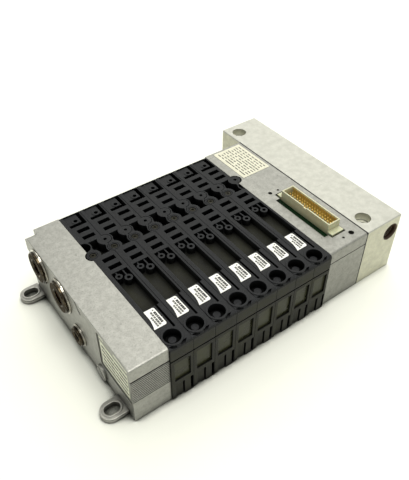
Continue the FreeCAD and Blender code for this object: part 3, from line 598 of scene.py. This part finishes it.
def grow(name, tree, sizes, smooth=False):
    """Runs a tree once, keeps its result as a plain mesh and rides it on the base."""
    piece = bpy.data.objects.new(name, bpy.data.meshes.new(name))
    bpy.context.scene.collection.objects.link(piece)
    modifier = piece.modifiers.new(name, "NODES")
    modifier.node_group = tree
    for socket in tree.interface.items_tree:
        if socket.in_out == "INPUT":
            modifier[socket.identifier] = sizes[socket.name]
    graph = bpy.context.evaluated_depsgraph_get()
    mesh = bpy.data.meshes.new_from_object(piece.evaluated_get(graph))
    piece.modifiers.clear()
    piece.data = mesh
    if smooth:
        mesh.shade_smooth()
    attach(piece, "base")
    return piece


def thread_tree(finish):
    """A thread: a three-sided ridge along a helix, turned, placed and repeated in two directions."""
    sizes = {
        "Radius": "Float", "Pitch": "Float", "Turns": "Float", "Depth": "Float", "Steps": "Int",
        "Turn": "Vector", "Place": "Vector",
        "Across": "Int", "Across Step": "Vector", "Up": "Int", "Up Step": "Vector",
    }
    tree, given = start_tree("port_thread", sizes)
    height = add_node(
        tree, "ShaderNodeMath", {"operation": "MULTIPLY"}, {0: given["Pitch"], 1: given["Turns"]}
    ).outputs[0]
    helix = add_node(tree, "GeometryNodeCurveSpiral", inputs={
        "Resolution": given["Steps"], "Rotations": given["Turns"], "Start Radius": given["Radius"],
        "End Radius": given["Radius"], "Height": height,
    }).outputs[0]
    ridge = add_node(
        tree, "GeometryNodeCurvePrimitiveCircle", inputs={"Resolution": 3, "Radius": given["Depth"]}
    ).outputs[0]
    wire = add_node(
        tree, "GeometryNodeCurveToMesh", inputs={"Curve": helix, "Profile Curve": ridge, "Fill Caps": True}
    ).outputs[0]
    one = placed(tree, wire, given["Turn"], given["Place"])
    row = copies(tree, line_of_points(tree, given["Across"], given["Across Step"]), one)
    end_tree(tree, copies(tree, line_of_points(tree, given["Up"], given["Up Step"]), row), finish)
    return tree


def print_tree(finish):
    """Rows of thin printed bars of uneven lengths, turned, placed and repeated."""
    sizes = {
        "Rows": "Int", "Row Step": "Float", "Marks": "Int", "Mark Step": "Float",
        "Thickness": "Float", "Width": "Float", "Shortest": "Float", "Longest": "Float", "Seed": "Int",
        "Shift": "Float", "Turn": "Vector", "Place": "Vector", "Copies": "Int", "Copy Step": "Float",
    }
    tree, given = start_tree("printed_rows", sizes)
    combine = "ShaderNodeCombineXYZ"
    along = add_node(tree, combine, inputs={"Y": given["Mark Step"]}).outputs[0]
    across = add_node(tree, combine, inputs={"X": given["Row Step"]}).outputs[0]
    onward = add_node(tree, combine, inputs={"X": given["Copy Step"]}).outputs[0]
    row = line_of_points(tree, given["Marks"], along)
    points = real(tree, copies(tree, line_of_points(tree, given["Rows"], across), row))
    other_seed = add_node(tree, "ShaderNodeMath", inputs={0: given["Seed"], 1: 1.0}).outputs[0]
    reversing = {0: given["Shift"], 1: -1.0}
    back = add_node(tree, "ShaderNodeMath", {"operation": "MULTIPLY"}, reversing).outputs[0]
    ends = [add_node(tree, combine, inputs={"Y": y}).outputs[0] for y in (back, given["Shift"])]
    drawn = {0: ends[0], 1: ends[1], "Seed": other_seed}
    shift = add_node(tree, "FunctionNodeRandomValue", {"data_type": "FLOAT_VECTOR"}, drawn).outputs[0]
    moved = {"Geometry": points, "Offset": shift}
    points = add_node(tree, "GeometryNodeSetPosition", inputs=moved).outputs[0]
    low = add_node(tree, combine, inputs={"X": given["Width"], "Y": given["Shortest"], "Z": 1.0}).outputs[0]
    high = add_node(tree, combine, inputs={"X": given["Width"], "Y": given["Longest"], "Z": 1.0}).outputs[0]
    drawn = {0: low, 1: high, "Seed": given["Seed"]}
    size = add_node(tree, "FunctionNodeRandomValue", {"data_type": "FLOAT_VECTOR"}, drawn).outputs[0]
    body = add_node(tree, combine, inputs={"X": 1.0, "Y": 1.0, "Z": given["Thickness"]}).outputs[0]
    bar = add_node(tree, "GeometryNodeMeshCube", inputs={"Size": body}).outputs[0]
    marks = placed(tree, copies(tree, points, bar, Scale=size), given["Turn"], given["Place"])
    end_tree(tree, copies(tree, line_of_points(tree, given["Copies"], onward), real(tree, marks)), finish)
    return tree


def row_tree(name, finish):
    """A row of blocks on a line of points."""
    tree, given = start_tree(name, {"Count": "Int", "First": "Vector", "Step": "Vector", "Size": "Vector"})
    block = add_node(tree, "GeometryNodeMeshCube", inputs={"Size": given["Size"]}).outputs[0]
    points = line_of_points(tree, given["Count"], given["Step"], given["First"])
    end_tree(tree, copies(tree, points, block), finish)
    return tree


def copies_tree(name, template, finish):
    """Copies of one turned shape, one on each point of a line."""
    tree, given = start_tree(name, {"Count": "Int", "First": "Vector", "Step": "Vector"})
    shape = add_node(tree, "GeometryNodeObjectInfo", inputs={"Object": template}).outputs["Geometry"]
    points = line_of_points(tree, given["Count"], given["Step"], given["First"])
    end_tree(tree, copies(tree, points, shape), finish)
    return tree


def lathe(name, rings, sides):
    """A closed shape through rings, each a height and a radius for every angle, linked to the scene."""
    shape = bmesh.new()
    loops = []
    angles = [2 * math.pi * k / sides for k in range(sides)]
    for height, radius in rings:
        corners = [(radius(a) * math.cos(a), radius(a) * math.sin(a), height) for a in angles]
        loops.append([shape.verts.new(corner) for corner in corners])
    for low, high in zip(loops, loops[1:]):
        for k in range(sides):
            shape.faces.new((low[k], low[(k + 1) % sides], high[(k + 1) % sides], high[k]))
    shape.faces.new(reversed(loops[0]))
    shape.faces.new(loops[-1])
    mesh = bpy.data.meshes.new(name)
    shape.to_mesh(mesh)
    shape.free()
    template = bpy.data.objects.new(name, mesh)
    bpy.context.scene.collection.objects.link(template)
    return template


# Operators

class DressMetal(bpy.types.Operator):
    """Finishes of the end plate, module, end block, feet and ports."""

    bl_idname = "island.dress_metal"
    bl_label = "Metal finishes"

    def execute(self, context):
        tones = context.scene.island_colours
        dress(cast_aluminium("shot_blasted_aluminium", tones.cast), "left_end_plate")
        dress(cast_aluminium("die_cast_aluminium", tones.module), "module_housing")
        dress(machined_aluminium(tones.machined, tones.painted_flank_tone), "end_block")
        dress(foot_casting(tones.foot), "front_foot", "rear_foot")
        dress(browned_brass(tones.brass, tones.nickel), "front_supply", "rear_supply", "pilot_port")
        dress(screw_steel("zinc_plated_steel", tones.steel), "tie_rods")
        return {"FINISHED"}


class DressSlices(bpy.types.Operator):
    """Finishes of the valve slices and of what they hold."""

    bl_idname = "island.dress_slices"
    bl_label = "Slice finishes"

    def execute(self, context):
        tones = context.scene.island_colours
        dress(slice_nylon(tones.nylon), "valve_slice")
        dress(panel_plastic(tones.panel), "front_panels")
        dress(button_acetal(tones.button), "override_button")
        dress(coil_resin(), "pilot_solenoids")
        dress(ground_spool(), "valve_spool", "spool_bore_plugs")
        dress(nitrile_rubber("moulded_nitrile"), "duct_gaskets")
        return {"FINISHED"}


class DressConnector(bpy.types.Operator):
    """Finishes of the circuit board, the connector's shell and its pins."""

    bl_idname = "island.dress_connector"
    bl_label = "Connector finishes"

    def execute(self, context):
        tones = context.scene.island_colours
        dress(solder_lacquer(tones.board), "circuit_board")
        dress(shell_polyester(tones.shell), "connector_shell")
        dress(contact_gold(tones.gold), "connector_pins")
        return {"FINISHED"}


class DressLabels(bpy.types.Operator):
    """Finishes of the label sheets."""

    bl_idname = "island.dress_labels"
    bl_label = "Label finishes"

    def execute(self, context):
        tones = context.scene.island_colours
        dress(label_vinyl("white_vinyl", tones.tag, 0.95), "station_tags")
        dress(label_vinyl("cream_vinyl", tones.label, 0.93), "module_label")
        dress(label_vinyl("aged_vinyl", tones.side_label, 0.8), "side_label")
        return {"FINISHED"}


class AddBossScrews(bpy.types.Operator):
    """A screw with a lobed recess in each slice's front boss."""

    bl_idname = "island.add_boss_screws"
    bl_label = "Boss screws"

    def execute(self, context):
        sizes = context.scene.island_sizes
        tone = context.scene.island_colours.screw
        r, h, hollow = sizes.screw_radius, sizes.screw_height, sizes.recess_radius
        rings = [
            (0.0, lambda a: r), (h - SCREW_CHAMFER, lambda a: r), (h, lambda a: r - SCREW_CHAMFER),
            (h, lambda a: hollow * (1 + LOBE_SHARE * math.cos(LOBES * a))),
            (h - RECESS_DEPTH, lambda a: hollow * (RECESS_TAPER + LOBE_SHARE * math.cos(LOBES * a))),
        ]
        template = lathe("screw_template", rings, SCREW_SIDES)
        tree = copies_tree("boss_screws", template, screw_steel("blackened_steel", tone))
        first = FIRST_BUTTON + SCREW_FROM_BUTTON
        first.z = TOP - SCREW_SINK
        places = {"Count": STATIONS, "First": first, "Step": X_AXIS * PITCH}
        grow("boss_screws", tree, places)
        bpy.data.objects.remove(template)
        return {"FINISHED"}


class AddContactBlades(bpy.types.Operator):
    """Flat contact blades along the connector's inner right wall, whose gold also paints the pins' reflection
    on that wall.
    """

    bl_idname = "island.add_contact_blades"
    bl_label = "Contact blades"

    def execute(self, context):
        low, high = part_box("connector_pins")
        sizes = context.scene.island_sizes
        # The blades' gold is partly a painted reflection of the pins on the shell's inner right wall
        tone = darker(context.scene.island_colours.gold, BLADE_TONE)
        tree = row_tree("contact_blades", contact_gold(tone))
        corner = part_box("connector_shell")[1]
        wall, tip = corner.x - sizes.shell_wall, corner.z - sizes.blade_sink
        pitch = (high.y - low.y) / (CONTACTS - 1)
        size = Vector((BLADE_THICKNESS, BLADE_SHARE * pitch, tip - low.z))
        x = wall - BLADE_THICKNESS / 2 - sizes.print_height
        first = Vector((x, low.y, (low.z + tip) / 2))
        places = {"Count": CONTACTS, "First": first, "Step": Y_AXIS * pitch, "Size": size}
        grow("contact_blades", tree, places)
        return {"FINISHED"}


class AddJointShadowStrip(bpy.types.Operator):
    """A thin dark strip over the groove between the module and the end block: a painted shadow along the
    joint.
    """

    bl_idname = "island.add_joint_seal"
    bl_label = "Joint seal"

    def execute(self, context):
        sizes = context.scene.island_sizes
        width, thick = sizes.shadow_strip_width, 2 * sizes.shadow_strip_height
        low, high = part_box("end_block")
        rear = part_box("module_housing")[1].y
        # Painted shadow: a dark strip over the joint between the module and the end block
        tree = row_tree("joint_shadow_strip", nitrile_rubber("joint_shadow_rubber"))
        pieces = (
            ("joint_seal_top", (low.x, (low.y + rear) / 2, high.z), (width, rear - low.y, thick)),
            ("joint_seal_front", (low.x, low.y, high.z / 2), (width, thick, high.z)),
        )
        for name, place, size in pieces:
            bar = {"Count": 1, "First": place, "Step": (0, 0, 0), "Size": size}
            grow(name, tree, bar)
        return {"FINISHED"}


class AddThreads(bpy.types.Operator):
    """Threads in the supply ports, the pilot port, the end port and the working ports."""

    bl_idname = "island.add_threads"
    bl_label = "Port threads"

    def execute(self, context):
        sizes = context.scene.island_sizes
        tree = thread_tree(thread_bronze())
        shared = {"Depth": sizes.thread_depth, "Steps": sizes.thread_steps, "Pitch": sizes.thread_pitch}
        to_x, to_y = (0, math.pi / 2, 0), (math.pi / 2, 0, 0)
        alone = {"Across": 1, "Across Step": (0, 0, 0), "Up": 1, "Up Step": (0, 0, 0)}
        bores = {"front_supply_port": SUPPLY_BORE, "rear_supply_port": SUPPLY_BORE, "pilot_port": PILOT_BORE}
        for name, bore in bores.items():
            start = middle(name)
            start.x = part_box(name)[0].x + COLLAR_THREAD_SINK
            place = {"Radius": bore, "Turns": COLLAR_TURNS, "Turn": to_x, "Place": start, **alone}
            grow(name + "_thread", tree, {**shared, **place}, True)
        start = end_port_start() + Y_AXIS * END_THREAD_SINK
        place = {"Radius": END_BORE, "Turns": END_TURNS, "Turn": to_y, "Place": start, **alone}
        grow("end_port_thread", tree, {**shared, **place}, True)
        low, high = WORK_PORT_HEIGHTS
        start = Vector((FIRST_BUTTON.x + WORK_PORT_FROM_BUTTON, REAR - WORK_THREAD_SINK, low))
        place = {
            "Radius": WORK_BORE, "Turns": WORK_TURNS, "Turn": to_y, "Place": start, "Across": STATIONS,
            "Across Step": X_AXIS * PITCH, "Up": 2, "Up Step": Z_AXIS * (high - low),
        }
        grow("work_port_threads", tree, {**shared, **place}, True)
        return {"FINISHED"}


class AddPrint(bpy.types.Operator):
    """Rows of plain printed bars on the tags and labels."""

    bl_idname = "island.add_print"
    bl_label = "Label print"

    def execute(self, context):
        sizes = context.scene.island_sizes
        tones = context.scene.island_colours
        bold = print_tree(label_ink("thermal_print", tones.ink))
        trees = {"bold": bold, "faint": print_tree(label_ink("faint_print", tones.faint_ink))}
        lift = sizes.print_height
        flat = {"Turn": (0, 0, 0), "Thickness": 2 * lift}
        for (name, ink, marks, step, width, short, long), (x, y) in zip(TAG_PRINT, TAG_ROWS_FROM_BUTTON):
            place = Vector((FIRST_BUTTON.x + x * MM, FIRST_BUTTON.y + y * MM, TAG_TOP + lift))
            rows = {
                "Rows": 1, "Row Step": 0.0, "Marks": marks, "Mark Step": step * MM, "Width": width * MM,
                "Shortest": short * MM, "Longest": long * MM, "Shift": 0.0, "Place": place,
                "Copies": STATIONS, "Copy Step": PITCH,
            }
            grow(name, trees[ink], {**rows, **flat, "Seed": sizes.seed})
        low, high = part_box("module_label")
        place = Vector((low.x, low.y, high.z + lift)) + MODULE_PRINT_IN
        rows = {
            "Rows": 9, "Row Step": 2.5 * MM, "Marks": 8, "Mark Step": 4.3 * MM, "Width": 0.75 * MM,
            "Shortest": 2.2 * MM, "Longest": 4.2 * MM, "Shift": 0.6 * MM, "Place": place,
            "Copies": 1, "Copy Step": 0.0,
        }
        grow("module_label_print", bold, {**rows, **flat, "Seed": sizes.seed})
        low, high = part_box("side_label")
        place = Vector((low.x - lift, low.y, low.z)) + SIDE_PRINT_IN
        rows = {
            "Rows": 5, "Row Step": 4.1 * MM, "Marks": 6, "Mark Step": 4.9 * MM, "Width": 1.5 * MM,
            "Shortest": 4.0 * MM, "Longest": 4.9 * MM, "Shift": 0.2 * MM, "Place": place,
            "Copies": 1, "Copy Step": 0.0, "Turn": (0, -math.pi / 2, 0), "Thickness": 2 * lift,
        }
        grow("side_label_print", bold, {**rows, "Seed": sizes.seed})
        strip = row_tree("side_strips", label_vinyl("strip_vinyl", tones.side_label, 0.8))
        for name, y, reach in SIDE_STRIPS:
            place = Vector((high.x - lift, low.y + y * MM, high.z + STRIP_RISE))
            size = Vector((2 * lift, reach * MM, STRIP_WIDTH))
            grow(name, strip, {"Count": 1, "First": place, "Step": (0, 0, 0), "Size": size})
        return {"FINISHED"}


class SetStage(bpy.types.Operator):
    """A pale floor, soft light from above and from the back right, and the camera."""

    bl_idname = "island.set_stage"
    bl_label = "Stage"

    def execute(self, context):
        scene = context.scene
        scene.view_settings.view_transform = "Standard"
        self.floor(scene)
        for lamp in LAMPS:
            self.light(scene, *lamp)
        world = scene.world or bpy.data.worlds.new("studio")
        scene.world = world
        world.use_nodes = True
        tree = world.node_tree
        tree.nodes.clear()
        way = add_node(tree, "ShaderNodeTexCoord").outputs["Generated"]
        x = add_node(tree, "ShaderNodeSeparateXYZ", inputs={"Vector": way}).outputs["X"]
        inputs = {"Color": linear("#FAFBF4"), "Strength": level(tree, x, 0.44, 0.84, -1.0, 1.0)}
        air = add_node(tree, "ShaderNodeBackground", inputs=inputs).outputs[0]
        add_node(tree, "ShaderNodeOutputWorld", inputs={"Surface": air})
        self.camera(scene)
        return {"FINISHED"}

    def floor(self, scene):
        mesh = bpy.data.meshes.new("floor")
        low, reach = CAD_BOX[0].z, FLOOR_REACH
        corners = [(-reach, -reach, low), (reach, -reach, low), (reach, reach, low), (-reach, reach, low)]
        mesh.from_pydata(corners, [], [(0, 1, 2, 3)])
        material, tree, place = start_material("pale_paper")
        fibre = clouds(tree, place, 60.0, 2.0)
        base = shade(tree, fibre, linear("#F3F4EC"), linear("#F6F7F0"))
        x = add_node(tree, "ShaderNodeSeparateXYZ", inputs={"Vector": place}).outputs["X"]
        # Painted shadow: the floor darkens round the island's foot and in the feet's slots, darkest on its
        # left
        shadow = shade(tree, x, linear("#40413B"), linear("#C4C5BC"), 0.02, 0.12)
        end_material(tree, shade(tree, openness(tree, 9.0, 0.47, 0.68), shadow, base), 0.9)
        mesh.materials.append(material)
        floor = bpy.data.objects.new("floor", mesh)
        scene.collection.objects.link(floor)

    def light(self, scene, name, place, size, power):
        lamp = bpy.data.lights.new(name, "AREA")
        lamp.shape = "DISK"
        lamp.size = size
        lamp.energy = power
        lamp.color = linear("#FFFDF6")[:3]
        holder = bpy.data.objects.new(name, lamp)
        holder.location = place
        holder.rotation_euler = (AIM - place).to_track_quat("-Z", "Y").to_euler()
        scene.collection.objects.link(holder)

    def camera(self, scene):
        data = bpy.data.cameras.new("camera")
        data.lens = LENS
        data.sensor_width = SENSOR
        data.clip_start = NEAR_CLIP
        camera = bpy.data.objects.new("camera", data)
        camera.location = EYE
        camera.rotation_mode = "QUATERNION"
        look = (AIM - EYE).to_track_quat("-Z", "Y")
        camera.rotation_quaternion = look @ Quaternion(Z_AXIS, ROLL)
        scene.collection.objects.link(camera)
        scene.camera = camera


OPERATORS = (
    DressMetal, DressSlices, DressConnector, DressLabels, AddBossScrews, AddContactBlades, AddJointShadowStrip,
    AddThreads, AddPrint, SetStage,
)


class IslandPanel(bpy.types.Panel):
    """Lists the island's operators, colours and sizes."""

    bl_label = "Valve Island"
    bl_idname = "VIEW3D_PT_valve_island"
    bl_space_type = "VIEW_3D"
    bl_region_type = "UI"
    bl_category = "Valve Island"

    def draw(self, context):
        for operator in OPERATORS:
            self.layout.operator(operator.bl_idname)
        for group in (context.scene.island_colours, context.scene.island_sizes):
            for name in group.bl_rna.properties.keys():
                if name not in ("rna_type", "name"):
                    self.layout.prop(group, name)


CLASSES = (IslandColours, IslandSizes, *OPERATORS, IslandPanel)


def register():
    for cls in CLASSES:
        bpy.utils.register_class(cls)
    bpy.types.Scene.island_colours = PointerProperty(type=IslandColours)
    bpy.types.Scene.island_sizes = PointerProperty(type=IslandSizes)


def unregister():
    del bpy.types.Scene.island_sizes
    del bpy.types.Scene.island_colours
    for cls in reversed(CLASSES):
        bpy.utils.unregister_class(cls)


def main():
    register()
    for operator in OPERATORS:
        group, name = operator.bl_idname.split(".")
        getattr(getattr(bpy.ops, group), name)()


if __name__ == "__main__":
    main()
